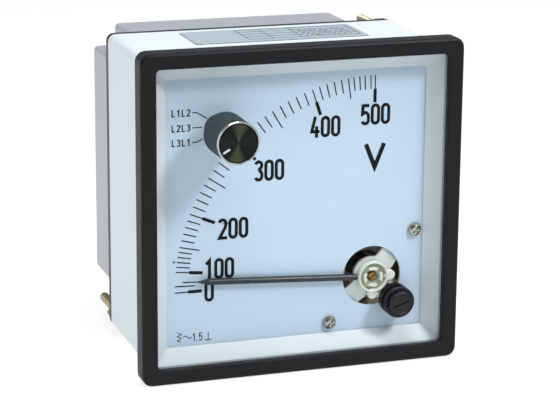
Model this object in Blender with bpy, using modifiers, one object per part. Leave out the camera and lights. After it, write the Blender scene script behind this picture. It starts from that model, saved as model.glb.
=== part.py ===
"""Square panel voltmeter with a moving-iron movement and a three-way phase selector.

Blender 4.5, metres, +Z up.  The face looks towards -Y.  The origin is on the surface the
bezel stands on, under the middle of the whole meter.

Every position below is given in millimetres in the face's own frame: x to the right,
y rearwards from the front plane of the bezel, z up from the middle of the face.
place() turns that frame into the world's.
"""

import math

import bmesh
import bpy
from mathutils import Matrix, Vector
from mathutils.geometry import convex_hull_2d

MM = 0.001

# Driving dimensions, in millimetres.
BEZEL_HALF = 48.0  # 96 x 96 bezel
BEZEL_DEPTH = 6.0
WINDOW_HALF = 43.4
CASE_HALF = 45.0  # 90 x 90 body, for a 92 x 92 cut-out
CASE_WALL = 1.8
CASE_REAR = 48.0
BOSS = 6.6  # square boss in each case corner
DIAL_HALF = 40.5
DIAL_FRONT = 7.2
DIAL_VISIBLE = 39.1
FRONT_MOST = -12.0  # the selector knob's front
REAR_MOST = 70.0  # the fixing studs' ends
PIVOT = (23.45, -22.95)  # the pointer's axis, x and z
ADJUSTER = (30.1, -30.1)  # the zero adjuster's axis
KNOB = (-23.6, 24.4)  # the selector's axis
POINTER_REST = 3.3  # degrees above the scale's zero mark
POINTER_TIP = 58.1
PILLAR = 13.1  # the movement pillars stand at PIVOT +/- this, on the rising diagonal
CAM_OFFSET = 1.0
CAM_RADIUS = 1.7
STUD = 42.0
COVER_FRONT, COVER_REAR = 50.6, 66.8
COVER_WALL = 1.6
WIDE_NOTCH, NARROW_NOTCH = 14.0, 6.6
TERMINALS = [(-26.0, -10.0), (-10.0, -10.0), (6.0, -10.0)]
GAP = 0.3  # between pieces that touch

MIDDLE = (FRONT_MOST + REAR_MOST) / 2
DIAGONAL = math.radians(45)


def place(x, y, z):
    return Vector((x * MM, (y - MIDDLE) * MM, (z + BEZEL_HALF) * MM))


TO_WORLD = Matrix.Translation(place(0, 0, 0)) @ Matrix.Scale(MM, 4)

for old in list(bpy.data.objects):
    bpy.data.objects.remove(old)
meter = bpy.data.collections.new("panel_voltmeter")
cutters = bpy.data.collections.new("cutters")
for made in (meter, cutters):
    bpy.context.scene.collection.children.link(made)
cutters.hide_render = True


# ---------------------------------------------------------------- outlines, x and z

def polar(centre, radius, degrees):
    a = math.radians(degrees)
    return (centre[0] + radius * math.cos(a), centre[1] + radius * math.sin(a))


def arc(centre, radius, first, last, count):
    return [polar(centre, radius, first + (last - first) * i / count) for i in range(count + 1)]


def circle(centre, radius, count=20):
    return arc(centre, radius, 0, 360, count)[:-1]


def hexagon(centre, across_flats):
    return circle(centre, across_flats / math.sqrt(3), 6)


def rounded(x0, x1, z0, z1, radius, count=4):
    corners = [(x1 - radius, z1 - radius, 0), (x0 + radius, z1 - radius, 90),
               (x0 + radius, z0 + radius, 180), (x1 - radius, z0 + radius, 270)]
    return [p for x, z, a in corners for p in arc((x, z), radius, a, a + 90, count)]


def square(half, radius, centre=(0, 0), count=4):
    return rounded(centre[0] - half, centre[0] + half, centre[1] - half, centre[1] + half, radius, count)


def hull(points):
    return [points[i] for i in convex_hull_2d([Vector(p) for p in points])]


def paddle(centre, hub, reach, width, degrees, count=20):
    """A round hub with one straight blade."""
    half = math.degrees(math.asin(width / 2 / hub))
    a = math.radians(degrees)
    along, across = (math.cos(a), math.sin(a)), (-math.sin(a), math.cos(a))
    tip = [(centre[0] + reach * along[0] + s * width / 2 * across[0],
            centre[1] + reach * along[1] + s * width / 2 * across[1]) for s in (-1, 1)]
    return tip + arc(centre, hub, degrees + half, degrees + 360 - half, count)


def anchor(centre, hub, inner, outer, first, last, web):
    """A hub with a web out to a curved strip."""
    middle = (first + last) / 2
    at_hub = math.degrees(math.asin(web / 2 / hub))
    at_strip = math.degrees(math.asin(web / 2 / inner))
    return (arc(centre, outer, first, last, 12)
            + arc(centre, inner, last, middle + at_strip, 5)
            + arc(centre, hub, middle + at_hub, middle + 360 - at_hub, 16)
            + arc(centre, inner, middle - at_strip, first, 5))


def notched(inset):
    """The rear cover's outline: wide notches at two corners and narrow ones at the others."""
    h, w, n, t = CASE_HALF - inset, CASE_HALF - WIDE_NOTCH - inset, CASE_HALF - NARROW_NOTCH - inset, inset
    return [(-w, -h), (n, -h), (n, -n), (h, -n), (h, w), (w, w), (w, h), (-n, h), (-n, n), (-h, n), (-h, -w), (-w, -w)]


# ---------------------------------------------------------------- solids, as bmesh in millimetres

def baked(obj):
    """The evaluated mesh of a helper object, welded, with its faces out."""
    bpy.context.view_layer.update()
    graph = bpy.context.evaluated_depsgraph_get()
    mesh = bpy.data.meshes.new_from_object(obj.evaluated_get(graph))
    bm = bmesh.new()
    bm.from_mesh(mesh)
    bm.transform(obj.matrix_world)
    bmesh.ops.remove_doubles(bm, verts=bm.verts[:], dist=0.0005)
    bmesh.ops.recalc_face_normals(bm, faces=bm.faces[:])
    bpy.data.objects.remove(obj)
    return bm


def helper(name, data):
    obj = bpy.data.objects.new(name, data)
    cutters.objects.link(obj)
    return obj


def prism(loops, half_depth, matrix):
    """A flat outline with its holes, thickened both ways along its own z."""
    curve = bpy.data.curves.new("outline", "CURVE")
    curve.dimensions = "2D"
    curve.fill_mode = "BOTH"
    curve.extrude = half_depth
    for loop in loops:
        spline = curve.splines.new("POLY")
        spline.points.add(len(loop) - 1)
        for point, (u, v) in zip(spline.points, loop):
            point.co = (u, v, 0, 1)
        spline.use_cyclic_u = True
    obj = helper("outline", curve)
    obj.matrix_world = matrix
    return baked(obj)


def plate(loops, y0, y1):
    """An outline in x and z, from depth y0 to y1."""
    upright = Matrix.Translation((0, (y0 + y1) / 2, 0)) @ Matrix.Rotation(math.pi / 2, 4, "X")
    return prism(loops, (y1 - y0) / 2, upright)


def turned(profile, centre=(0, 0), steps=20, closed=False):
    """A profile of (radius, depth) turned about a line that runs front to back."""
    mesh = bpy.data.meshes.new("profile")
    count = len(profile)
    edges = [(i, i + 1) for i in range(count - 1)] + ([(count - 1, 0)] if closed else [])
    mesh.from_pydata([(r, 0, -y) for r, y in profile], edges, [])
    obj = helper("profile", mesh)
    screw = obj.modifiers.new("turn", "SCREW")
    screw.steps = screw.render_steps = steps
    screw.use_merge_vertices = True
    screw.merge_threshold = 0.0001
    obj.matrix_world = Matrix.Translation((centre[0], 0, centre[1])) @ Matrix.Rotation(math.pi / 2, 4, "X")
    return baked(obj)


def box(x0, x1, y0, y1, z0, z1, bevel=0.0):
    bm = bmesh.new()
    bmesh.ops.create_cube(bm, size=1)
    bm.transform(Matrix.Translation(((x0 + x1) / 2, (y0 + y1) / 2, (z0 + z1) / 2))
                 @ Matrix.Diagonal((x1 - x0, y1 - y0, z1 - z0, 1)))
    if bevel:
        bmesh.ops.bevel(bm, geom=bm.edges[:], offset=bevel, segments=2, profile=0.5, affect="EDGES")
    return bm


def swing(bm, centre, degrees):
    """Turns a solid clockwise, as seen from the front, about a line that runs front to back."""
    middle = Vector((centre[0], 0, centre[1]))
    bm.transform(Matrix.Translation(middle) @ Matrix.Rotation(math.radians(degrees), 4, "Y") @ Matrix.Translation(-middle))
    return bm


def bar(centre, start, end, offset, width, y0, y1, degrees):
    """A straight bar from radius start to end, at an angle anticlockwise from +x, set off sideways."""
    bm = box(centre[0] + start, centre[0] + end, y0, y1, centre[1] + offset - width / 2, centre[1] + offset + width / 2)
    return swing(bm, centre, -degrees)


def wire(points, radius, resolution=1):
    curve = bpy.data.curves.new("wire", "CURVE")
    curve.dimensions = "3D"
    curve.bevel_depth = radius
    curve.bevel_resolution = resolution
    curve.use_fill_caps = True
    spline = curve.splines.new("POLY")
    spline.points.add(len(points) - 1)
    for point, co in zip(spline.points, points):
        point.co = (*co, 1)
    return baked(helper("wire", curve))


def smooth_path(stations, each=5):
    """Points on a Catmull-Rom curve through the stations."""
    pts = [Vector(s) for s in stations]
    pts = [2 * pts[0] - pts[1]] + pts + [2 * pts[-1] - pts[-2]]
    out = []
    for a, b, c, d in zip(pts, pts[1:], pts[2:], pts[3:]):
        for i in range(each):
            t = i / each
            out.append(0.5 * (2 * b + (c - a) * t + (2 * a - 5 * b + 4 * c - d) * t * t + (3 * b - a - 3 * c + d) * t ** 3))
    return out + [pts[-2]]


def frame_ring(stations):
    """A closed ring whose section follows (half width, depth, corner radius): a loft of rounded squares."""
    bm = bmesh.new()
    rings = []
    for half, depth, radius in stations:
        rings.append([bm.verts.new((x, depth, z)) for x, z in square(half, radius)])
    count = len(rings[0])
    for a, b in zip(rings, rings[1:] + rings[:1]):
        for i in range(count):
            j = (i + 1) % count
            bm.faces.new((a[i], a[j], b[j], b[i]))
    bmesh.ops.recalc_face_normals(bm, faces=bm.faces[:])
    return bm


# ---------------------------------------------------------------- materials and objects

def material(name, colour, roughness, metallic=0.0, transmission=0.0):
    made = bpy.data.materials.new(name)
    made.use_nodes = True
    shader = made.node_tree.nodes["Principled BSDF"]
    shader.inputs["Base Color"].default_value = (*colour, 1)
    shader.inputs["Roughness"].default_value = roughness
    shader.inputs["Metallic"].default_value = metallic
    shader.inputs["Transmission Weight"].default_value = transmission
    return made


BLACK = ((0.014, 0.017, 0.020), 0.42)
WHITE = ((0.74, 0.80, 0.83), 0.45)
STEEL = ((0.60, 0.60, 0.58), 0.28, 1.0)
BRASS = ((0.72, 0.53, 0.24), 0.30, 1.0)


def as_mesh(name, solids, origin):
    """One mesh from several separate solids, about the given origin."""
    whole = bmesh.new()
    for bm in solids:
        part = bpy.data.meshes.new("part")
        bm.to_mesh(part)
        bm.free()
        whole.from_mesh(part)
        bpy.data.meshes.remove(part)
    whole.transform(Matrix.Translation(-origin) @ TO_WORLD)
    bmesh.ops.recalc_face_normals(whole, faces=whole.faces[:])
    mesh = bpy.data.meshes.new(name)
    whole.to_mesh(mesh)
    whole.free()
    return mesh


def make(name, solids, finish, axis=None, join=(), cut=()):
    """A named piece.  axis is the (x, z) of the joint it turns on, and its origin is put there."""
    origin = place(axis[0], 0, axis[1]) if axis else Vector((0, 0, 0))
    mesh = as_mesh(name, solids, origin)
    obj = bpy.data.objects.new(name, mesh)
    obj.location = origin
    meter.objects.link(obj)
    mesh.materials.append(material(name, *finish))
    for operation, group in (("UNION", join), ("DIFFERENCE", cut)):
        for i, bm in enumerate(group):
            tool = bpy.data.objects.new(f"{name}_{operation.lower()}_{i}", as_mesh("tool", [bm], origin))
            tool.location = origin
            tool.hide_render = True
            tool.display_type = "WIRE"
            cutters.objects.link(tool)
            modifier = obj.modifiers.new(operation.lower(), "BOOLEAN")
            modifier.operation = operation
            modifier.object = tool
    mesh.shade_smooth()
    mesh.set_sharp_from_angle(angle=math.radians(35))
    return obj


def on_diagonal(u):
    return (PIVOT[0] + u * math.cos(DIAGONAL), PIVOT[1] + u * math.sin(DIAGONAL))


PILLAR_AT = [on_diagonal(s * PILLAR * math.sqrt(2)) for s in (1, -1)]
STUD_AT = [(STUD, STUD), (-STUD, -STUD)]
CORNER_SCREW_AT = [(-41.6, 41.6), (41.6, -41.6)]


def pan_screw(centre, head_front, radius, height, shank, end, steps=16):
    """A pan head facing the front, with its shank behind it."""
    return turned([(0, head_front), (radius * 0.55, head_front + height * 0.04), (radius * 0.86, head_front + height * 0.28),
                   (radius, head_front + height * 0.62), (radius, head_front + height), (shank, head_front + height),
                   (shank, end - 0.5), (shank * 0.55, end), (0, end)], centre, steps)


def rear_screw(centre, seat, radius, height, shank, end, steps=16):
    """The same, facing the rear."""
    return turned([(0, end), (shank * 0.55, end), (shank, end + 0.5), (shank, seat), (radius, seat), (radius, seat + height * 0.4),
                   (radius * 0.86, seat + height * 0.75), (radius * 0.5, seat + height), (0, seat + height)], centre, steps)


def cross(centre, y0, y1, size, width):
    """The two crossed cutters of a cross recess."""
    return [bar(centre, -size, size, 0, width, y0, y1, a) for a in (45, 135)]


# ================================================================ the housing

# The bezel: a chamfered front, the window, a rebate that holds the glass and the surround,
# and a wider rebate that takes the case.
make("front_bezel", [frame_ring([
    (47.25, 0.0, 2.3), (47.8, 0.28, 2.75), (BEZEL_HALF, 0.85, 2.9), (BEZEL_HALF, BEZEL_DEPTH, 2.9), (45.4, BEZEL_DEPTH, 2.4),
    (45.4, 4.4, 2.4), (44.7, 4.4, 1.4), (44.7, 2.0, 1.4), (WINDOW_HALF, 2.0, 1.3), (WINDOW_HALF, 0.5, 1.3), (WINDOW_HALF + 0.35, 0.0, 1.6)])],
    BLACK)

make("window_glass", [plate([square(44.3, 1.2), circle(KNOB, 3.1), circle(ADJUSTER, 4.2)], 2.3, 3.5)],
     ((0.95, 0.97, 0.98), 0.04, 0.0, 1.0))

# The surround slopes in from behind the glass to the dial.
make("dial_surround", [frame_ring([
    (44.3, 3.8, 1.2), (43.5, 3.8, 1.0), (DIAL_VISIBLE, 6.9, 0.7), (39.9, 6.9, 0.8), (43.33, 4.45, 1.0), (44.3, 4.45, 1.2)])], WHITE)

# The dial plate: a keyhole over the movement, whose slot runs under the zero adjuster.
slot_half, slot_end, hole_radius = 4.1, 13.5, 9.0
opening = math.degrees(math.asin(slot_half / hole_radius))
keyhole = arc(PIVOT, hole_radius, -45 + opening, 315 - opening, 40)
lower = polar(PIVOT, slot_end, -45)
keyhole += [(lower[0] - slot_half * math.sin(DIAGONAL), lower[1] - slot_half * math.sin(DIAGONAL)),
            (lower[0] + slot_half * math.sin(DIAGONAL), lower[1] + slot_half * math.sin(DIAGONAL))]
make("dial_plate", [plate([square(DIAL_HALF, 1.0), keyhole, circle(KNOB, 4.2)] + [circle(p, 1.3, 16) for p in PILLAR_AT],
                          DIAL_FRONT, 8.0)], ((0.62, 0.74, 0.84), 0.5))
for which, p in zip(("upper", "lower"), PILLAR_AT):
    make(f"dial_screw_{which}", [pan_screw(p, 5.6, 2.0, 1.3, 1.0, 14.0)], STEEL, cut=cross(p, 5.0, 6.2, 1.1, 0.42))

# The case: a square tube with a boss in each corner behind the dial.
inner, boss = CASE_HALF - CASE_WALL, CASE_HALF - BOSS
make("case_shell", [plate([
    square(CASE_HALF, 2.2),
    [(-inner, -boss), (-boss, -boss), (-boss, -inner), (boss, -inner), (boss, -boss), (inner, -boss),
     (inner, boss), (boss, boss), (boss, inner), (-boss, inner), (-boss, boss), (-inner, boss)],
    ] + [circle(p, 1.75, 16) for p in STUD_AT] + [circle(p, 1.15, 12) for p in CORNER_SCREW_AT], 4.75, CASE_REAR)], WHITE,
    cut=[plate([square(inner + 0.05, 1.0)], 3.5, 8.6)])

SWITCH_CORNER = 10.8
SWITCH_POSTS = [(KNOB[0] + SWITCH_CORNER, KNOB[1] + SWITCH_CORNER), (KNOB[0] - SWITCH_CORNER, KNOB[1] - SWITCH_CORNER)]
make("rear_plate", [plate([square(CASE_HALF, 2.2)] + [circle(p, 1.75, 16) for p in STUD_AT] + [circle(p, 1.3, 12) for p in CORNER_SCREW_AT]
                          + [circle(p, 1.3, 12) for p in PILLAR_AT + SWITCH_POSTS] + [circle(p, 2.4, 20) for p in TERMINALS],
                          48.3, 50.3)], ((0.016, 0.017, 0.019), 0.5))
for which, p in zip(("left", "right"), CORNER_SCREW_AT):
    make(f"rear_plate_screw_{which}", [rear_screw(p, 50.6, 2.2, 1.5, 0.85, 38.0)], STEEL, cut=cross(p, 51.3, 53.0, 1.2, 0.42))

# The rear cover: a notched cup over the terminals, with a cable outlet underneath.
cover = plate([notched(0)], COVER_FRONT, COVER_REAR)
rim = [e for e in cover.edges if not all(abs(v.co.y - COVER_FRONT) < 0.01 for v in e.verts) and e.calc_face_angle(0) > 0.5]
bmesh.ops.bevel(cover, geom=rim, offset=1.3, segments=3, profile=0.5, affect="EDGES")
make("rear_cover", [cover], ((0.43, 0.45, 0.48), 0.35, 0.0, 0.25),
     cut=[plate([notched(COVER_WALL)], 48.0, COVER_REAR - COVER_WALL), box(-8, 8, 54, 62, -48, -41)])

# The fixing studs, with a nut on each.
for which, p in zip(("upper", "lower"), STUD_AT):
    make(f"fixing_stud_{which}", [turned([(0, 24), (1.2, 24), (1.4, 24.3), (1.4, 69.0), (1.15, 69.6), (0.6, REAR_MOST), (0, REAR_MOST)], p, 14)],
         BRASS)
    make(f"fixing_nut_{which}", [plate([hexagon(p, 5.5), circle(p, 1.75, 16)], 50.6, 53.0)], BRASS)

make("rating_label", [box(-24.6, 28.1, 25.0, 43.6, 45.15, 45.3)], ((0.41, 0.47, 0.50), 0.4))

# ================================================================ the zero adjuster

make("zero_bush", [turned([(4.45, 1.0), (4.7, 1.25), (4.7, 2.0), (3.9, 2.0), (3.9, 3.8), (4.7, 3.8), (4.7, 6.0), (3.0, 6.0), (3.0, 1.0)],
                          ADJUSTER, 32, True)], BLACK)
TO_PIVOT = math.degrees(math.atan2(PIVOT[1] - ADJUSTER[1], PIVOT[0] - ADJUSTER[0]))
cam_centre = polar(ADJUSTER, CAM_OFFSET, TO_PIVOT)
make("zero_screw", [turned([(0, -0.8), (3.5, -0.8), (3.8, -0.5), (3.8, 0.7), (2.7, 0.7), (2.7, 6.1), (0, 6.1)], ADJUSTER, 32)], BLACK,
     axis=ADJUSTER, join=[turned([(0, 5.9), (CAM_RADIUS, 5.9), (CAM_RADIUS, 7.4), (0, 7.4)], cam_centre, 20)],
     cut=[bar(ADJUSTER, -5, 5, 0, 0.9, -2.0, -0.1, 20)])

# The zero lever: a moulded cup that turns on the bridge, two lugs, a fork round the cam
# and a post that holds the hairspring's outer end.
POST_RADIUS = 6.6
make("zero_lever", [turned([(4.65, 5.2), (4.65, 6.8), (1.8, 6.8), (1.8, 5.4), (2.85, 5.4), (2.85, 6.2), (4.05, 6.2), (4.05, 5.2)],
                           PIVOT, 32, True)], WHITE, axis=PIVOT,
     join=[plate([circle(polar(PIVOT, 5.2, a), 1.65, 20)], 5.6, 6.75) for a in (0, 270)]
     + [bar(PIVOT, 3.7, 12.4, side * (CAM_RADIUS + GAP + 0.6), 1.2, 6.3, 6.77, TO_PIVOT + 180) for side in (-1, 1)]
     + [plate([circle(polar(PIVOT, POST_RADIUS, 270), 0.5, 12)], 6.35, 10.9)],
     cut=[bar(PIVOT, -3.5, 3.5, 0, 0.7, 5.0, 6.1, a) for a in (45, 135)])

# ================================================================ the movement

# The front bridge: a strap on the rising diagonal that arches forward to a round boss.
reach = PILLAR * math.sqrt(2) + 3.0
arch = [(-reach, 8.4), (-9.6, 8.4), (-6.0, 7.2), (6.0, 7.2), (9.6, 8.4), (reach, 8.4),
        (reach, 9.4), (9.9, 9.4), (6.3, 8.2), (-6.3, 8.2), (-9.9, 9.4), (-reach, 9.4)]
along_strap = Matrix(((math.cos(DIAGONAL), 0, -math.sin(DIAGONAL), PIVOT[0]), (0, 1, 0, 0),
                      (math.sin(DIAGONAL), 0, math.cos(DIAGONAL), PIVOT[1]), (0, 0, 0, 1)))
make("front_bridge", [prism([arch], 3.0, along_strap)], ((0.62, 0.64, 0.62), 0.4, 0.6),
     join=[turned([(0, 7.1), (5.7, 7.1), (5.7, 8.3), (0, 8.3)], PIVOT, 32)],
     cut=[plate([circle(PIVOT, 1.6)], 6, 11)] + [plate([circle(p, 1.3, 16)], 7, 11) for p in PILLAR_AT])
make("front_bearing", [turned([(0, 6.3), (1.1, 6.3), (1.3, 6.5), (1.3, 8.5), (0, 8.5)], PIVOT, 20)], BRASS,
     cut=[bar(PIVOT, -2, 2, 0, 0.4, 5.8, 6.7, 35)])
# One casting: the plate behind the coil, with the two pillars that take the dial screws.
make("movement_frame", [plate([hull([q for p in PILLAR_AT for q in circle(p, 4.2)] + circle(PIVOT, 15.5, 36)), circle(PIVOT, 2.5, 20)],
                              27.6, 29.1)], STEEL,
     join=[turned([(0, 15), (1.3, 15), (1.3, 9.7), (2.2, 9.7), (2.2, 28.0), (0, 28.0)], p, 20) for p in PILLAR_AT])


def riveted_post(p, front):
    """A post that stands on the rear plate, with its stub headed over behind it."""
    return turned([(0, front), (2.2, front), (2.2, 48.0), (1.0, 48.0), (1.0, 50.6), (2.0, 50.6), (1.7, 51.3), (0, 51.5)], p, 14)


for i, p in enumerate(PILLAR_AT):
    make(f"movement_post_{i + 1}", [riveted_post(p, 29.4)], BRASS)
make("coil_bobbin", [turned([(12.8, 13.0), (12.8, 14.0), (7.2, 14.0), (7.2, 26.3), (12.8, 26.3), (12.8, 27.3), (6.2, 27.3), (6.2, 13.0)],
                            PIVOT, 32, True)], ((0.07, 0.05, 0.04), 0.5))
make("coil_winding", [turned([(12.3, 14.3), (12.3, 26.0), (7.5, 26.0), (7.5, 14.3)], PIVOT, 32, True)], ((0.20, 0.07, 0.03), 0.35, 0.7))
make("fixed_vane", [plate([arc(PIVOT, 5.8, 100, 230, 12) + arc(PIVOT, 5.2, 230, 100, 12)], 15.0, 25.0)], STEEL)
make("damping_chamber", [turned([(14.5, 29.4), (14.5, 37.0), (1.8, 37.0), (1.8, 36.2), (13.7, 36.2), (13.7, 29.4)], PIVOT, 32, True)],
     ((0.7, 0.7, 0.7), 0.35, 1.0))
make("rear_bearing", [turned([(0, 35.9), (1.5, 35.9), (1.5, 37.3), (2.4, 37.3), (2.4, 39.0), (0, 39.0)], PIVOT, 20)], BRASS)

# What turns with the pointer.  The pointer lies in front of the zero lever's cup and the bridge,
# so its root steps back to a ring on the spindle behind them.
tube = turned([(0, 5.2), (0.95, 5.2), (0.95, 50.4), (0.22, 53.6), (0.2, POINTER_TIP), (0, POINTER_TIP)], (0, 0), 16)
tube.transform(Matrix.Translation((PIVOT[0], 6.0, PIVOT[1])) @ Matrix.Rotation(math.pi / 2, 4, "Z"))
foot = plate([paddle(PIVOT, 2.8, 7.4, 1.5, 180), circle(PIVOT, 1.9, 16)], 8.6, 9.2)
leg = box(PIVOT[0] - 7.4, PIVOT[0] - 6.5, 6.2, 9.0, PIVOT[1] - 0.72, PIVOT[1] + 0.72)
make("pointer", [swing(tube, PIVOT, POINTER_REST)], ((0.03, 0.035, 0.04), 0.35), axis=PIVOT,
     join=[swing(leg, PIVOT, POINTER_REST), swing(foot, PIVOT, POINTER_REST)])
make("pointer_hub", [turned([(1.6, 8.6), (1.6, 9.5), (2.6, 9.5), (2.6, 9.9), (1.0, 9.9), (1.0, 8.6)], PIVOT, 20, True)], BRASS, axis=PIVOT)
make("spindle", [turned([(0, 8.8), (0.2, 8.8), (0.7, 9.6), (0.7, 34.9), (0.2, 35.6), (0, 35.6)], PIVOT, 16)], STEEL, axis=PIVOT)
make("moving_vane", [plate([anchor(PIVOT, 1.9, 4.2, 4.7, 10, 80, 1.0), circle(PIVOT, 1.0, 12)], 16.0, 24.0)], STEEL, axis=PIVOT)
make("balance_arm", [plate([paddle(PIVOT, 1.9, 12.0, 1.2, -POINTER_REST), circle(PIVOT, 1.0, 12)], 11.2, 11.8)], BRASS, axis=PIVOT,
     join=[plate([circle(polar(PIVOT, 11.2, -POINTER_REST), 3.9)], 11.6, 12.6)])
make("damping_vane", [plate([paddle(PIVOT, 1.9, 13.2, 0.6, 130), circle(PIVOT, 1.0, 12)], 30.2, 35.3)], ((0.7, 0.7, 0.7), 0.35, 1.0), axis=PIVOT)

# The hairspring: three and a half turns, then a short run out to the lever's post.
turns, first_radius, last_radius = 3.5, 1.9, 5.2
end_angle = 282.0
spiral = []
for i in range(57):
    t = i / 56
    a = math.radians(end_angle - 360 * turns * (1 - t))
    r = first_radius + (last_radius - first_radius) * t
    spiral.append((PIVOT[0] + r * math.cos(a), 10.4, PIVOT[1] + r * math.sin(a)))
out = polar(PIVOT, POST_RADIUS, end_angle)
spiral.append((out[0], 10.4, out[1]))
make("hairspring", [wire(spiral, 0.14, 0)], ((0.6, 0.4, 0.2), 0.3, 1.0), axis=PIVOT)

# ================================================================ the phase selector

INDEX = 210.5  # degrees, anticlockwise from +x: the lowest of the three positions
knob = turned([(0, -8.2), (2.3, -8.2), (2.3, 1.4), (6.05, 1.4), (6.25, 1.1), (6.12, -10.9), (0, -10.9)], KNOB, 40)
radial_hole = turned([(0, 0), (1.2, 0), (1.2, 8), (0, 8)], (0, 0), 16)
radial_hole.transform(Matrix.Translation((KNOB[0], -2.5, KNOB[1])) @ Matrix.Rotation(-math.pi / 2, 4, "X"))
make("knob_body", [knob], ((0.045, 0.06, 0.065), 0.5), axis=KNOB, cut=[radial_hole])
make("knob_ring", [turned([(5.65, -11.9), (5.72, -12.0), (5.95, -12.0), (6.12, -11.8), (6.15, -11.2), (5.65, -11.2)], KNOB, 40, True)],
     ((0.75, 0.75, 0.74), 0.18, 1.0), axis=KNOB)
make("knob_cap", [turned([(0, -11.7), (5.2, -11.7), (5.35, -11.55), (5.35, -11.2), (0, -11.2)], KNOB, 40)], ((0.03, 0.03, 0.022), 0.3, 0.6), axis=KNOB)
make("knob_index", [bar(KNOB, 2.9, 5.1, 0, 0.55, -11.99, -11.83, INDEX)], ((0.85, 0.85, 0.83), 0.5), axis=KNOB)
set_screw = turned([(0, 2.5), (0.9, 2.5), (0.9, 5.7), (0, 5.7)], (0, 0), 12)
set_screw.transform(Matrix.Translation((KNOB[0], -2.5, KNOB[1])) @ Matrix.Rotation(-math.pi / 2, 4, "X"))
make("knob_set_screw", [set_screw], STEEL, axis=KNOB)
make("selector_shaft", [turned([(0, -7.9), (1.7, -7.9), (2.0, -7.6), (2.0, 31.0), (0, 31.0)], KNOB, 24)], STEEL, axis=KNOB)
make("selector_rotor", [turned([(9.2, 17.0), (9.2, 21.0), (2.3, 21.0), (2.3, 17.0)], KNOB, 32, True)], ((0.25, 0.06, 0.04), 0.45), axis=KNOB)
make("selector_wiper", [plate([hull(circle(KNOB, 3.4) + circle(polar(KNOB, 6.2, INDEX), 1.4, 16) + circle(polar(KNOB, 6.2, INDEX - 180), 1.4, 16)),
                               circle(KNOB, 2.3)], 21.3, 21.9)], BRASS, axis=KNOB)

collar = turned([(3.8, 8.9), (3.8, 13.5), (2.4, 13.5), (2.4, 8.9)], KNOB, 24, True)
make("switch_front_plate", [plate([square(13, 2, KNOB), circle(KNOB, 2.4)], 13.2, 15.2)], ((0.25, 0.06, 0.04), 0.45), join=[collar])
# The switch body is a cup that is closed by the front plate; its floor carries the contacts.
CONTACT_AT = [polar(KNOB, 6.2, INDEX - 30 * i) for i in range(3)]
make("switch_body", [plate([square(13, 2, KNOB), circle(KNOB, 2.4)] + [circle(p, 1.2, 12) for p in CONTACT_AT], 15.5, 29.6)],
     ((0.03, 0.03, 0.03), 0.5), cut=[plate([circle(KNOB, 10, 32)], 14.0, 27.8)])
for i, p in enumerate(SWITCH_POSTS):
    make(f"switch_post_{i + 1}", [riveted_post(p, 29.9)], BRASS)
for i, p in enumerate(CONTACT_AT):
    make(f"switch_contact_{i + 1}", [turned([(0, 22.2), (1.4, 22.2), (1.4, 23.4), (0.9, 23.4), (0.9, 33.4), (0, 33.4)], p, 12)], BRASS)

# ================================================================ the terminals and the wiring

for i, p in enumerate(TERMINALS):
    make(f"terminal_stud_{i + 1}", [turned([(0, 43.0), (2.0, 43.0), (2.0, 47.0), (3.5, 47.0), (3.5, 48.0), (2.0, 48.0), (2.0, 61.4),
                                            (1.5, 62.0), (0, 62.0)], p, 14)], BRASS)
    make(f"terminal_nut_{i + 1}", [plate([hexagon(p, 7.0), circle(p, 2.35, 20)], 50.6, 53.8)], BRASS)
make("resistor_board", [plate([rounded(-38, 4, -37, -4, 1.0, 2)], 41.0, 42.6)], ((0.10, 0.16, 0.06), 0.5))
resistor = turned([(0, -8.5), (0.4, -8.5), (0.4, -5.5), (1.7, -5.5), (2.0, -5.0), (2.0, -3.6), (1.75, -3.2), (1.75, 3.2), (2.0, 3.6),
                   (2.0, 5.0), (1.7, 5.5), (0.4, 5.5), (0.4, 8.5), (0, 8.5)], (0, 0), 16)
resistor.transform(Matrix.Translation((-20.0, 38.4, -24.0)) @ Matrix.Rotation(math.pi / 2, 4, "Z"))
make("series_resistor", [resistor], ((0.35, 0.28, 0.18), 0.5))
lead = [(1.5, 40.0, -20), (4.0, 38.0, -20.5), (6.6, 33.0, -21), (7.2, 27.0, -21), (8.2, 22.0, -21.4), (10.0, 20.5, -21.6)]
make("coil_lead", [wire(smooth_path(lead, 4), 0.55, 1)], ((0.5, 0.05, 0.04), 0.45))
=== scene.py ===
"""The looks of the square panel voltmeter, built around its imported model.

Positions are given in millimetres in the face's own frame, as in the model's source:
x to the right, y rearwards from the bezel's front plane, z up from the middle of the face.
"""

import math
import random

import bmesh
import bpy
from mathutils import Matrix, Vector


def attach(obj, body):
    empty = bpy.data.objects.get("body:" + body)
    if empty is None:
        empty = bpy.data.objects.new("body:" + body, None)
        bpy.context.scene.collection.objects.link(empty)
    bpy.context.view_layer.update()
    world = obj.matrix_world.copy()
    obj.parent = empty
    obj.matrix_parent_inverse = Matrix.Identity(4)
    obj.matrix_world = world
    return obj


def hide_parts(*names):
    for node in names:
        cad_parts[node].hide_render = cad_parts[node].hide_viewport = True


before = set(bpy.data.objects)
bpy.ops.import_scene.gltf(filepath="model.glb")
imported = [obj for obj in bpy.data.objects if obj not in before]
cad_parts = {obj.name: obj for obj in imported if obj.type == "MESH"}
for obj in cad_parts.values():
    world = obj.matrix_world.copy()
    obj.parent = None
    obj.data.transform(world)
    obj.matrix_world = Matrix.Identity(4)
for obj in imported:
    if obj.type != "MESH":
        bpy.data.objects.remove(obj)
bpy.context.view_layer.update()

MM = 0.001
random.seed(7)


def place(x, y, z):
    return Vector((x * MM, (y - 29.0) * MM, (z + 48.0) * MM))


TO_WORLD = Matrix.Translation(place(0, 0, 0)) @ Matrix.Scale(MM, 4)
PIVOT, ADJUSTER, KNOB = (23.45, -22.95), (30.1, -30.1), (-23.6, 24.4)
DIAL = 7.2
scene = bpy.context.scene

# ================================================================ camera and light

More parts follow.
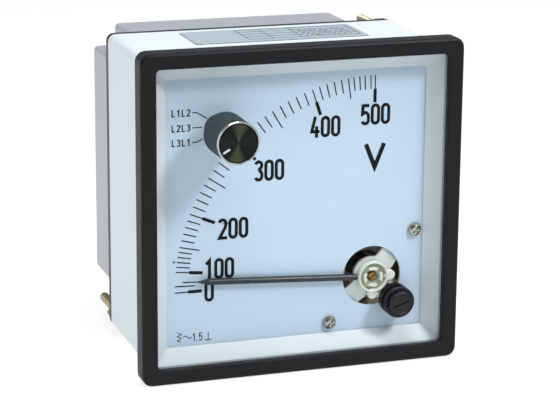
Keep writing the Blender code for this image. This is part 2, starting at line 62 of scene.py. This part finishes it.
camera_data = bpy.data.cameras.new("camera")
camera_data.sensor_width = 36.0
camera_data.lens = 137.28
camera_data.clip_start, camera_data.clip_end = 0.05, 50.0
camera = bpy.data.objects.new("camera", camera_data)
scene.collection.objects.link(camera)
right, up, ahead = Vector((0.94797, -0.31827, 0.00833)), Vector((0.07438, 0.24682, 0.96620)), Vector((0.30957, 0.91531, -0.25765))
turn = Matrix((right, up, -ahead)).transposed().to_4x4()
camera.matrix_world = Matrix.Translation(place(-194.62, -553.16, 159.88)) @ turn
scene.camera = camera

scene.view_settings.view_transform = "Standard"
world = bpy.data.worlds.new("studio")
scene.world = world
world.use_nodes = True
backdrop = world.node_tree.nodes["Background"]
backdrop.inputs["Color"].default_value = (0.86, 0.93, 1.0, 1)
toward = world.node_tree.nodes.new("ShaderNodeTexCoord")
apart = world.node_tree.nodes.new("ShaderNodeSeparateXYZ")
darker_front = world.node_tree.nodes.new("ShaderNodeMapRange")
for socket, value in (("From Min", -0.9), ("From Max", 0.25), ("To Min", 0.17), ("To Max", 0.52)):
    darker_front.inputs[socket].default_value = value
world.node_tree.links.new(toward.outputs["Generated"], apart.inputs["Vector"])
world.node_tree.links.new(apart.outputs["Y"], darker_front.inputs["Value"])
world.node_tree.links.new(darker_front.outputs["Result"], backdrop.inputs["Strength"])
seen = world.node_tree.nodes.new("ShaderNodeBackground")
seen.inputs["Color"].default_value = (1.0, 1.0, 1.0, 1)
ray = world.node_tree.nodes.new("ShaderNodeLightPath")
either = world.node_tree.nodes.new("ShaderNodeMixShader")
world.node_tree.links.new(ray.outputs["Is Camera Ray"], either.inputs[0])
world.node_tree.links.new(backdrop.outputs[0], either.inputs[1])
world.node_tree.links.new(seen.outputs[0], either.inputs[2])
world.node_tree.links.new(either.outputs[0], world.node_tree.nodes["World Output"].inputs["Surface"])


def area(name, position, target, size, power, colour=(1, 1, 1)):
    data = bpy.data.lights.new(name, "AREA")
    data.shape = "RECTANGLE"
    data.size, data.size_y = size
    data.energy = power
    data.color = colour
    obj = bpy.data.objects.new(name, data)
    scene.collection.objects.link(obj)
    obj.location = position
    obj.rotation_euler = (Vector(target) - Vector(position)).to_track_quat("-Z", "Y").to_euler()
    return obj


area("key", (0.42, -0.55, 0.68), (0, 0, 0.05), (0.20, 0.20), 5.0)
area("top_soft", (-0.04, -0.17, 0.72), (0, -0.02, 0.05), (0.34, 0.30), 2.6)
area("left_soft", (-0.75, -0.15, 0.25), (0, 0, 0.05), (0.5, 0.6), 0.9)

# ================================================================ materials


def links(material):
    return material.node_tree.nodes, material.node_tree.links


def finish(name, colour, roughness, metallic=0.0, mottle=0.06, grain=400.0, rough_spread=0.08, bump=0.05, bump_grain=2500.0,
           coat=0.0, alpha=1.0, transmission=0.0, stretch=(1, 1, 1), specular=0.5, glow=0.0, ior=1.5):
    """A surface with colour mottle, roughness variation and a fine bump, all from noise in the object's own space."""
    made = bpy.data.materials.new(name)
    made.use_nodes = True
    nodes, wires = links(made)
    shader = nodes["Principled BSDF"]
    shader.inputs["Metallic"].default_value = metallic
    shader.inputs["Coat Weight"].default_value = coat
    shader.inputs["Alpha"].default_value = alpha
    shader.inputs["Transmission Weight"].default_value = transmission
    shader.inputs["IOR"].default_value = ior
    shader.inputs["Specular IOR Level"].default_value = specular
    shader.inputs["Emission Color"].default_value = (1, 1, 1, 1)
    shader.inputs["Emission Strength"].default_value = glow
    where = nodes.new("ShaderNodeTexCoord")
    mapping = nodes.new("ShaderNodeMapping")
    mapping.inputs["Scale"].default_value = stretch
    wires.new(where.outputs["Object"], mapping.inputs["Vector"])
    broad = nodes.new("ShaderNodeTexNoise")
    broad.inputs["Scale"].default_value = grain
    broad.inputs["Detail"].default_value = 4
    wires.new(mapping.outputs["Vector"], broad.inputs["Vector"])
    ramp = nodes.new("ShaderNodeValToRGB")
    ramp.color_ramp.elements[0].position, ramp.color_ramp.elements[1].position = 0.3, 0.7
    ramp.color_ramp.elements[0].color = (*[c * (1 - mottle) for c in colour], 1)
    ramp.color_ramp.elements[1].color = (*[min(1, c * (1 + mottle)) for c in colour], 1)
    wires.new(broad.outputs["Fac"], ramp.inputs["Fac"])
    wires.new(ramp.outputs["Color"], shader.inputs["Base Color"])
    spread = nodes.new("ShaderNodeMapRange")
    spread.inputs["To Min"].default_value = max(0.02, roughness - rough_spread)
    spread.inputs["To Max"].default_value = min(1, roughness + rough_spread)
    wires.new(broad.outputs["Fac"], spread.inputs["Value"])
    wires.new(spread.outputs["Result"], shader.inputs["Roughness"])
    if bump:
        fine = nodes.new("ShaderNodeTexNoise")
        fine.inputs["Scale"].default_value = bump_grain
        fine.inputs["Detail"].default_value = 3
        wires.new(mapping.outputs["Vector"], fine.inputs["Vector"])
        lift = nodes.new("ShaderNodeBump")
        lift.inputs["Strength"].default_value = bump
        lift.inputs["Distance"].default_value = 0.0002
        wires.new(fine.outputs["Fac"], lift.inputs["Height"])
        wires.new(lift.outputs["Normal"], shader.inputs["Normal"])
    return made


def srgb(r, g, b):
    return tuple(c / 12.92 if c <= 0.04045 else ((c + 0.055) / 1.055) ** 2.4 for c in (r / 255, g / 255, b / 255))


BEZEL = finish("bezel_black", srgb(12, 14, 17), 0.48, bump=0.12, bump_grain=5200, mottle=0.10, specular=0.22)
BLACK = finish("moulded_black", srgb(20, 22, 25), 0.42, bump=0.06, mottle=0.12, specular=0.3)
CASE = finish("case_white", srgb(222, 230, 234), 0.45, bump=0.08, bump_grain=3800, mottle=0.012)
# The lever recess colour is painted shade, darker and greener than the white moulding.
LEVER_RECESS_SHADE = finish("lever_recess_painted_shade", srgb(158, 168, 142), 0.45, bump=0.05, mottle=0.10, grain=700)
LEVER = finish("lever_white", srgb(226, 232, 222), 0.32, bump=0.03, mottle=0.02)
DIALFACE = finish("dial_paint", srgb(200, 222, 240), 0.55, bump=0.03, bump_grain=6000, mottle=0.012, grain=120)
COVER = finish("smoky_plastic", srgb(172, 175, 181), 0.32, bump=0.03, bump_grain=5000, mottle=0.018, grain=60, rough_spread=0.03, coat=0.12, transmission=0.12)
SURROUND = finish("surround_white", srgb(210, 221, 225), 0.45, bump=0.05, mottle=0.012)
LABEL = finish("label_film", srgb(168, 181, 188), 0.38, bump=0.03, mottle=0.03, coat=0.15)
LABEL_LINE = finish("label_ink", srgb(88, 98, 110), 0.45, bump=0.0, mottle=0.06)
INK = finish("printed_ink", srgb(10, 11, 13), 0.6, bump=0.03, mottle=0.15, grain=900, specular=0.2)
ZINC = finish("zinc_plate", srgb(172, 171, 162), 0.22, 1.0, mottle=0.12, bump=0.06, grain=900)
BRASS = finish("brass_turned", srgb(196, 158, 96), 0.25, 1.0, mottle=0.12, bump=0.05, grain=700)
PIN = finish("bearing_brass", srgb(150, 118, 70), 0.3, 1.0, mottle=0.18, bump=0.05, grain=900)
BRIDGE = finish("bridge_cast", srgb(214, 221, 216), 0.42, 0.25, mottle=0.06, bump=0.10, bump_grain=3000)
POINTER = finish("pointer_black", srgb(36, 40, 44), 0.42, 0.0, mottle=0.10, bump=0.04, coat=0.04)
BOBBIN = finish("bobbin_brown", srgb(212, 196, 172), 0.50, mottle=0.35, grain=260, bump=0.25, bump_grain=900)
COPPER = finish("enamelled_copper", srgb(122, 66, 38), 0.28, 0.7, mottle=0.2, bump=0.05, coat=0.4)
IRON = finish("soft_iron", srgb(128, 126, 122), 0.38, 1.0, mottle=0.12, bump=0.08)
ALUMINIUM = finish("aluminium_plain", srgb(200, 202, 204), 0.3, 1.0, mottle=0.06, bump=0.06)
KNOBSIDE = finish("knob_moulded", srgb(38, 53, 54), 0.42, mottle=0.42, bump=0.08, grain=620, stretch=(1, 0.12, 1))
KNOBRING = finish("knob_bright_ring", srgb(176, 178, 178), 0.14, 1.0, mottle=0.05, bump=0.02)
MARK = finish("index_paint", srgb(205, 206, 196), 0.45, mottle=0.02, bump=0.04)
LAMINATE = finish("brown_laminate", srgb(74, 56, 46), 0.42, mottle=0.16, bump=0.08, grain=300)
BOARD = finish("board_laminate", srgb(96, 112, 62), 0.45, mottle=0.12, bump=0.06)
LACQUER = finish("resistor_lacquer", srgb(176, 160, 124), 0.38, mottle=0.08, bump=0.08)
WIRE = finish("lead_insulation", srgb(168, 44, 36), 0.4, mottle=0.06, bump=0.04)
GLASS = finish("window_clear", (0.02, 0.024, 0.028), 0.05, mottle=0.1, bump=0.0, rough_spread=0.015, alpha=0.03, grain=60, specular=0.3)
PLATED = finish("stud_plated", srgb(172, 163, 138), 0.36, 1.0, mottle=0.14, bump=0.06, grain=900)


def spun_with_painted_sheen(name, colour_a, sheen_colour, centre):
    """Black metal for the turned cap with its fine rings: faint olive streaks that fan out from the middle, painted
    highlight standing in for the sheen of spun metal.
    """
    made = bpy.data.materials.new(name)
    made.use_nodes = True
    nodes, wires = links(made)
    shader = nodes["Principled BSDF"]
    shader.inputs["Metallic"].default_value = 0.75
    shader.inputs["Roughness"].default_value = 0.34
    shader.inputs["Anisotropic"].default_value = 0.7
    where = nodes.new("ShaderNodeTexCoord")
    mapping = nodes.new("ShaderNodeMapping")
    middle = place(centre[0], 0, centre[1])
    mapping.inputs["Location"].default_value = (-middle.x, -middle.y, -middle.z)
    wires.new(where.outputs["Object"], mapping.inputs["Vector"])
    split = nodes.new("ShaderNodeSeparateXYZ")
    wires.new(mapping.outputs["Vector"], split.inputs["Vector"])
    angle = nodes.new("ShaderNodeMath")
    angle.operation = "ARCTAN2"
    wires.new(split.outputs["Z"], angle.inputs[0])
    wires.new(split.outputs["X"], angle.inputs[1])
    double = nodes.new("ShaderNodeMath")
    double.operation = "MULTIPLY_ADD"
    double.inputs[1].default_value = 2.0
    double.inputs[2].default_value = -2.92
    wires.new(angle.outputs[0], double.inputs[0])
    # The olive streaks are painted highlight: two opposite lighter bands where spun metal would show its sheen.
    sheen_wave = nodes.new("ShaderNodeMath")
    sheen_wave.operation = "COSINE"
    wires.new(double.outputs[0], sheen_wave.inputs[0])
    ramp = nodes.new("ShaderNodeValToRGB")
    ramp.color_ramp.elements[0].position, ramp.color_ramp.elements[1].position = 0.72, 1.0
    ramp.color_ramp.elements[0].color = (*colour_a, 1)
    ramp.color_ramp.elements[1].color = (*sheen_colour, 1)
    spread = nodes.new("ShaderNodeMapRange")
    spread.inputs["From Min"].default_value = -1.0
    wires.new(sheen_wave.outputs[0], spread.inputs["Value"])
    wires.new(spread.outputs["Result"], ramp.inputs["Fac"])
    wires.new(ramp.outputs["Color"], shader.inputs["Base Color"])
    return made


# The cap carries painted highlight streaks, fixed to the knob.
CAP = spun_with_painted_sheen("knob_spun_black_painted_sheen", srgb(24, 28, 28), srgb(76, 82, 62), KNOB)


def dress(node, material):
    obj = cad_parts[node]
    obj.data.materials.clear()
    obj.data.materials.append(material)
    for polygon in obj.data.polygons:
        polygon.material_index = 0
    obj.data.shade_smooth()
    obj.data.set_sharp_from_angle(angle=math.radians(35))


for material, names in {
    BEZEL: "front_bezel", GLASS: "window_glass", SURROUND: "dial_surround", CASE: "case_shell", DIALFACE: "dial_plate",
    ZINC: "dial_screw_upper dial_screw_lower rear_plate_screw_left rear_plate_screw_right spindle knob_set_screw selector_shaft",
    BLACK: "rear_plate zero_bush zero_screw switch_body", LEVER: "zero_lever", COVER: "rear_cover", LABEL: "rating_label",
    PLATED: "fixing_stud_upper fixing_stud_lower fixing_nut_upper fixing_nut_lower",
    BRASS: "rear_bearing movement_post_1 movement_post_2 switch_post_1 "
           "switch_post_2 switch_contact_1 switch_contact_2 switch_contact_3 terminal_stud_1 terminal_stud_2 terminal_stud_3 terminal_nut_1 "
           "terminal_nut_2 terminal_nut_3 pointer_hub balance_arm hairspring selector_wiper",
    PIN: "front_bearing", BRIDGE: "front_bridge movement_frame", POINTER: "pointer", BOBBIN: "coil_bobbin", COPPER: "coil_winding",
    IRON: "fixed_vane moving_vane", ALUMINIUM: "damping_chamber damping_vane", KNOBSIDE: "knob_body", KNOBRING: "knob_ring",
    CAP: "knob_cap", MARK: "knob_index", LAMINATE: "switch_front_plate selector_rotor", BOARD: "resistor_board",
    LACQUER: "series_resistor", WIRE: "coil_lead",
}.items():
    for node in names.split():
        dress(node, material)

# ================================================================ printed marks and small pieces


def piece(name, bm, material, body="housing", smooth=False):
    """A new piece from a bmesh in face millimetres, with its faces out."""
    bmesh.ops.recalc_face_normals(bm, faces=bm.faces[:])
    bm.transform(TO_WORLD)
    mesh = bpy.data.meshes.new(name)
    bm.to_mesh(mesh)
    bm.free()
    mesh.materials.append(material)
    if smooth:
        mesh.shade_smooth()
        mesh.set_sharp_from_angle(angle=math.radians(35))
    obj = bpy.data.objects.new(name, mesh)
    scene.collection.objects.link(obj)
    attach(obj, body)
    return obj


def stroke(bm, points, width, front, depth=0.05, closed=False):
    """A pen stroke of constant width in x and z, as a thin solid that stands on a plane facing the front."""
    pts = [Vector(p) for p in points]
    count = len(pts)
    sides = []
    for i, p in enumerate(pts):
        before = pts[i - 1] if i or closed else None
        after = pts[(i + 1) % count] if i < count - 1 or closed else None
        d1 = (p - before).normalized() if before is not None else None
        d2 = (after - p).normalized() if after is not None else None
        d1, d2 = d1 or d2, d2 or d1
        n1, n2 = Vector((-d1.y, d1.x)), Vector((-d2.y, d2.x))
        n = (n1 + n2)
        n = n1 if n.length < 1e-6 else n.normalized()
        reach = width / 2 / max(0.35, n.dot(n1))
        sides.append((p + n * reach, p - n * reach))
    rings = [[bm.verts.new((a.x, front - depth, a.y)), bm.verts.new((b.x, front - depth, b.y)),
              bm.verts.new((b.x, front, b.y)), bm.verts.new((a.x, front, a.y))] for a, b in sides]
    pairs = list(zip(rings, rings[1:] + rings[:1])) if closed else list(zip(rings, rings[1:]))
    for r, s in pairs:
        for k in range(4):
            bm.faces.new((r[k], r[(k + 1) % 4], s[(k + 1) % 4], s[k]))
    if not closed:
        bm.faces.new(rings[0])
        bm.faces.new(rings[-1][::-1])


def bow(cx, cz, rx, rz, first, last, count=14):
    return [(cx + rx * math.cos(math.radians(first + (last - first) * i / count)),
             cz + rz * math.sin(math.radians(first + (last - first) * i / count))) for i in range(count + 1)]


# Each glyph is a set of pen strokes in a box 1.95 wide and 4.9 tall, about x = 0.
R, H = 0.975, 4.9
GLYPHS = {
    "0": [(bow(0, H - R, R, R, 0, 180) + bow(0, R, R, R, 180, 360), True)],
    "1": [([(-0.72, H - 1.05), (0.30, H - 0.1), (0.30, -0.4)], False)],
    "2": [(bow(0, H - R, R, R, 165, 0) + bow(-0.25, H - R, R + 0.25, 1.9, 0, -38, 5) + [(-0.92, 0.0), (1.36, 0.0)], False)],
    "3": [(bow(0, H - R, R * 0.95, R, 160, -58) + [(-0.1, 2.62)], False), ([(-0.1, 2.62)] + bow(0, 1.12, R, 1.12 + 0.36, 62, -0, 8) + bow(0, 1.0, R, 1.0, -8, -160), False)],
    "4": [([(0.05, H + 0.4), (-1.0, 1.25), (1.36, 1.25)], False), ([(0.45, 2.7), (0.45, -0.4)], False)],
    "5": [([(1.2, H), (-0.72, H), (-0.84, 2.62)] + bow(0.02, 1.7, R, 1.35, 128, 0, 8) + bow(0.02, 1.0, R, 1.0, -8, -160), False)],
    "V": [([(-1.0, H + 0.4), (0.0, 0.1), (1.0, H + 0.4)], False)],
    "L": [([(-0.8, H + 0.4), (-0.8, 0.0), (1.0, 0.0)], False)],
}


def write(bm, text, x, z, size, pitch, pen, widen=1.0, tall=1.0):
    """Text whose first glyph is centred at x, with its feet at z; size scales the 5.7 mm numerals."""
    for character in text:
        if character in GLYPHS:
            for points, closed in GLYPHS[character]:
                stroke(bm, [(x + px * size * widen, z + (pz + 0.4) * size * tall) for px, pz in points], pen, DIAL, closed=closed)
        x += pitch


MARKS = {0: 0, 50: 1.8, 100: 5.9, 110: 7.33, 120: 8.7, 130: 10.13, 140: 11.55, 150: 12.95, 160: 14.9, 170: 16.8, 180: 18.7, 190: 20.6,
         200: 22.5, 210: 24.7, 220: 26.9, 230: 29.1, 240: 31.35, 250: 33.55, 260: 36.1, 270: 38.6, 280: 41.1, 290: 43.6, 300: 46.2,
         310: 48.7, 320: 51.3, 330: 53.8, 340: 56.3, 350: 58.8, 360: 61.35, 370: 63.9, 380: 66.45, 390: 69.0, 400: 71.45, 410: 73.55,
         420: 75.7, 430: 77.9, 440: 80.05, 450: 82.1, 460: 83.7, 470: 85.4, 480: 86.95, 490: 88.7, 500: 90.0}


def radial(bm, degrees, inner, outer, width):
    a = math.radians(180 - degrees)
    stroke(bm, [(PIVOT[0] + r * math.cos(a), PIVOT[1] + r * math.sin(a)) for r in (inner, outer)], width, DIAL)


scale = bmesh.new()
for value, degrees in MARKS.items():
    if value % 100 == 0:
        radial(scale, degrees, 55.9, 60.0, 0.33)
        radial(scale, degrees, 52.0, 56.0, 0.95)
    else:
        radial(scale, degrees, 54.0 if value % 50 == 0 else 56.0, 60.0, 0.32)
dot = math.radians(180 - 8.7)
stroke(scale, bow(PIVOT[0] + 60.9 * math.cos(dot), PIVOT[1] + 60.9 * math.sin(dot), 0.16, 0.16, 0, 330, 11), 0.3, DIAL, closed=True)
piece("scale_marks", scale, INK)

numerals = bmesh.new()
for text, x, z in (("500", 20.55, 22.45), ("400", 5.3, 19.75), ("300", -11.6, 8.1), ("200", -22.3, -8.2), ("100", -26.5, -19.85), ("0", -26.3, -26.4)):
    write(numerals, text, x, z, 1.0, 3.13, 0.93, 1.0, 1.09)
piece("scale_numerals", numerals, INK)

unit = bmesh.new()
stroke(unit, [(20.95, 16.8), (23.75, 9.9), (26.55, 16.8)], 1.32, DIAL)
piece("unit_letter", unit, INK)

phases = bmesh.new()
for text, z in (("L1L2", 28.42), ("L2L3", 24.1), ("L3L1", 19.9)):
    write(phases, text, -36.75, z, 0.355, 1.47, 0.33, 1.15)
for points in ([(-31.2, 29.35), (-29.9, 29.4), (-26.9, 27.5)], [(-31.2, 25.05), (-28.3, 25.05)], [(-31.2, 20.85), (-29.85, 20.85), (-28.2, 21.7)]):
    stroke(phases, points, 0.27, DIAL)
piece("phase_labels", phases, INK)

symbols = bmesh.new()
stroke(symbols, [(-35.9, -34.9), (-34.6, -35.5), (-35.9, -36.1), (-34.6, -36.7), (-35.9, -37.3), (-34.6, -37.9)], 0.2, DIAL)
stroke(symbols, [(-34.1 + 0.26 * i, -36.5 + 0.42 * math.sin(i * math.pi / 5)) for i in range(11)], 0.22, DIAL)
write(symbols, "1", -30.9, -37.95, 0.44, 1, 0.26)
write(symbols, "5", -28.9, -37.95, 0.44, 1, 0.26)
stroke(symbols, [(-30.05, -37.95), (-30.05, -37.65)], 0.26, DIAL)
stroke(symbols, [(-27.6, -37.8), (-25.6, -37.8)], 0.22, DIAL)
stroke(symbols, [(-26.6, -37.8), (-26.6, -35.6)], 0.22, DIAL)
piece("class_symbols", symbols, INK)

# The label's ruled table.
table = bmesh.new()


def rule(x0, y0, x1, y1, width=0.22):
    box = bmesh.new()
    bmesh.ops.create_cube(box, size=1)
    length = math.hypot(x1 - x0, y1 - y0)
    box.transform(Matrix.Translation(((x0 + x1) / 2, (y0 + y1) / 2, 45.33)) @ Matrix.Rotation(math.atan2(y1 - y0, x1 - x0), 4, "Z")
                  @ Matrix.Diagonal((length, width, 0.05, 1)))
    part = bpy.data.meshes.new("rule")
    box.to_mesh(part)
    box.free()
    table.from_mesh(part)
    bpy.data.meshes.remove(part)


for y in (27.6, 31.4, 35.2, 39.0, 42.4):
    rule(-8.0, y, 26.5, y)
for x in (-8.0, -0.5, 8.5, 26.5):
    rule(x, 27.6, x, 42.4)
for row in range(3):
    for k in range(9):
        start = 10.0 + 1.7 * k
        rule(start, 29.5 + 3.8 * row, start + random.uniform(0.7, 1.3), 29.5 + 3.8 * row, 0.9)
piece("label_table", table, LABEL_LINE)

# ================================================================ the selector knob


def lathe(bm, profile, centre, steps, wobble=None):
    """Turns a closed profile of (radius, depth) about a front-to-back line; wobble(depth, i) changes the radius."""
    rings = []
    for r, y in profile:
        ring = []
        for i in range(steps):
            a = 2 * math.pi * i / steps
            rr = r + (wobble(r, y, i) if wobble else 0)
            ring.append(bm.verts.new((centre[0] + rr * math.cos(a), y, centre[1] + rr * math.sin(a))))
        rings.append(ring)
    for a, b in zip(rings, rings[1:] + rings[:1]):
        for i in range(steps):
            j = (i + 1) % steps
            bm.faces.new((a[i], a[j], b[j], b[i]))


knob = bmesh.new()
flutes = 84


def knurl(r, y, i):
    if r < 5.9 or y > 1.15:
        return 0.0
    return -0.16 if i % 2 else 0.0


lathe(knob, [(2.3, 1.4), (5.85, 1.4), (6.05, 1.3), (6.25, 1.0), (6.22, -1.5), (6.19, -5.0), (6.15, -8.5), (6.12, -10.6), (5.98, -10.88), (5.2, -10.9), (2.3, -10.9)],
      KNOB, flutes * 2, knurl)
knurled = piece("knob_knurled_body", knob, KNOBSIDE, "selector")
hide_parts("knob_body")

# Turned rings on the cap.
cap = bmesh.new()
profile = [(0.12, -11.66)]
for k in range(1, 19):
    radius = 0.12 + k * 0.285
    profile += [(radius - 0.14, -11.70), (radius, -11.665)]
profile += [(5.35, -11.55), (5.35, -11.22), (0.12, -11.22)]
lathe(cap, profile, KNOB, 72)
spun_cap = piece("knob_turned_cap", cap, CAP, "selector", smooth=False)
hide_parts("knob_cap")

# ================================================================ the zero lever

# The same cup, lugs, fork and post as its solid, with a rounded rim and the inner ring in four segments.
lever = bmesh.new()
lathe(lever, [(4.62, 5.32), (4.66, 5.5), (4.66, 6.79), (1.82, 6.79), (1.82, 6.34), (4.0, 6.34), (4.04, 5.5), (4.1, 5.3), (4.22, 5.2), (4.48, 5.2)], PIVOT, 72)


def slab(bm, outline, y0, y1, bevel=0.0):
    """An outline in x and z as a closed solid from depth y0 to y1, with its front edge eased."""
    middle = sum((Vector(p) for p in outline), Vector((0, 0))) / len(outline)
    eased = [middle + (Vector(p) - middle) * (1 - bevel / max(0.1, (Vector(p) - middle).length)) for p in outline]
    rings = [[bm.verts.new((p[0], y, p[1])) for p in ring] for ring, y in ((eased, y0), (outline, y0 + bevel), (outline, y1))]
    count = len(outline)
    for a, b in zip(rings, rings[1:]):
        for i in range(count):
            j = (i + 1) % count
            bm.faces.new((a[i], a[j], b[j], b[i]))
    bm.faces.new(rings[0])
    bm.faces.new(rings[-1][::-1])


def around(radius, first, last, count):
    return bow(PIVOT[0], PIVOT[1], radius, radius, first, last, count)


for middle in (0, 90, 180, 270):
    slab(lever, around(2.95, middle - 32, middle + 32, 10) + around(2.15, middle + 26, middle - 26, 10), 5.3, 6.4, 0.1)
for middle in (0, 270):
    a = math.radians(middle)
    slab(lever, bow(PIVOT[0] + 5.2 * math.cos(a), PIVOT[1] + 5.2 * math.sin(a), 1.65, 1.65, 0, 345, 23), 5.6, 6.75, 0.25)
fork = math.atan2(ADJUSTER[1] - PIVOT[1], ADJUSTER[0] - PIVOT[0])
along, across = Vector((math.cos(fork), math.sin(fork))), Vector((-math.sin(fork), math.cos(fork)))
for side in (-2.6, 2.6):
    slab(lever, [tuple(Vector(PIVOT) + along * u + across * (side + v)) for u, v in ((3.75, -0.6), (12.4, -0.6), (12.4, 0.6), (3.75, 0.6))], 6.3, 6.77, 0.08)
slab(lever, bow(PIVOT[0], PIVOT[1] - 6.6, 0.5, 0.5, 0, 330, 11), 6.4, 10.9)
moulded = piece("zero_lever_moulding", lever, LEVER, "zero_lever", smooth=True)
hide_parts("zero_lever")
# A thin darker green-grey sheet on the cup's floor: painted shade for the hollow of the recess.
recess_shade_sheet = bmesh.new()
lathe(recess_shade_sheet, [(1.84, 6.27), (3.98, 6.27), (3.98, 6.33), (1.84, 6.33)], PIVOT, 48)
piece("zero_lever_recess_painted_shade", recess_shade_sheet, LEVER_RECESS_SHADE, "zero_lever", smooth=True)

# ================================================================ the zero adjuster

# A ribbed head with a sunk face and a narrow slot, on its stem, with the eccentric pin at the rear.
head = bmesh.new()
lathe(head, [(0.02, -0.6), (2.7, -0.6), (2.9, -0.8), (3.4, -0.8), (3.72, -0.58), (3.8, -0.3), (3.8, 0.5), (3.62, 0.7), (2.7, 0.7), (2.7, 6.1), (0.02, 6.1)],
      ADJUSTER, 96, lambda r, y, i: -0.12 if r > 3.7 and i % 2 else 0.0)
towards = math.atan2(PIVOT[1] - ADJUSTER[1], PIVOT[0] - ADJUSTER[0])
lathe(head, [(0.02, 6.1), (1.7, 6.1), (1.7, 7.4), (0.02, 7.4)], (ADJUSTER[0] + math.cos(towards), ADJUSTER[1] + math.sin(towards)), 32)
slotted = piece("zero_adjuster_head", head, BLACK, "zero_screw", smooth=True)
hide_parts("zero_screw")
groove = bmesh.new()
bmesh.ops.create_cube(groove, size=1)
groove.transform(TO_WORLD @ Matrix.Translation((ADJUSTER[0], -0.6, ADJUSTER[1])) @ Matrix.Rotation(math.radians(-20), 4, "Y") @ Matrix.Diagonal((5.0, 0.9, 0.55, 1)))
groove_mesh = bpy.data.meshes.new("groove")
groove.to_mesh(groove_mesh)
groove.free()
cutter = bpy.data.objects.new("groove", groove_mesh)
scene.collection.objects.link(cutter)
cut = slotted.modifiers.new("groove", "BOOLEAN")
cut.operation = "DIFFERENCE"
cut.object = cutter
bpy.context.view_layer.update()
slotted.data = bpy.data.meshes.new_from_object(slotted.evaluated_get(bpy.context.evaluated_depsgraph_get()))
slotted.modifiers.clear()
bpy.data.objects.remove(cutter)

# ================================================================ threads on the two fixing studs

for which, centre in (("upper", (42.0, 42.0)), ("lower", (-42.0, -42.0))):
    stud = bmesh.new()
    profile = [(0.05, 24.0), (1.15, 24.0)]
    y = 24.4
    while y < 68.9:
        profile += [(1.19, y), (1.41, y + 0.25)]
        y += 0.5
    profile += [(1.2, 69.3), (0.9, 69.75), (0.4, 69.98), (0.05, 70.0)]
    lathe(stud, profile, centre, 16)
    threaded = piece(f"stud_thread_{which}", stud, PLATED, "housing", smooth=False)
    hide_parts(f"fixing_stud_{which}")

# ================================================================ the floor

floor_mesh = bmesh.new()
bmesh.ops.create_grid(floor_mesh, x_segments=24, y_segments=24, size=6)
floor_data = bpy.data.meshes.new("studio_floor")
floor_mesh.to_mesh(floor_data)
floor_mesh.free()
floor_data.materials.append(finish("floor_pale", srgb(150, 150, 150), 0.9, mottle=0.004, bump=0.0, grain=3, glow=0.78))
floor = bpy.data.objects.new("studio_floor", floor_data)
floor.location = (0, 0, -0.0002)
scene.collection.objects.link(floor)
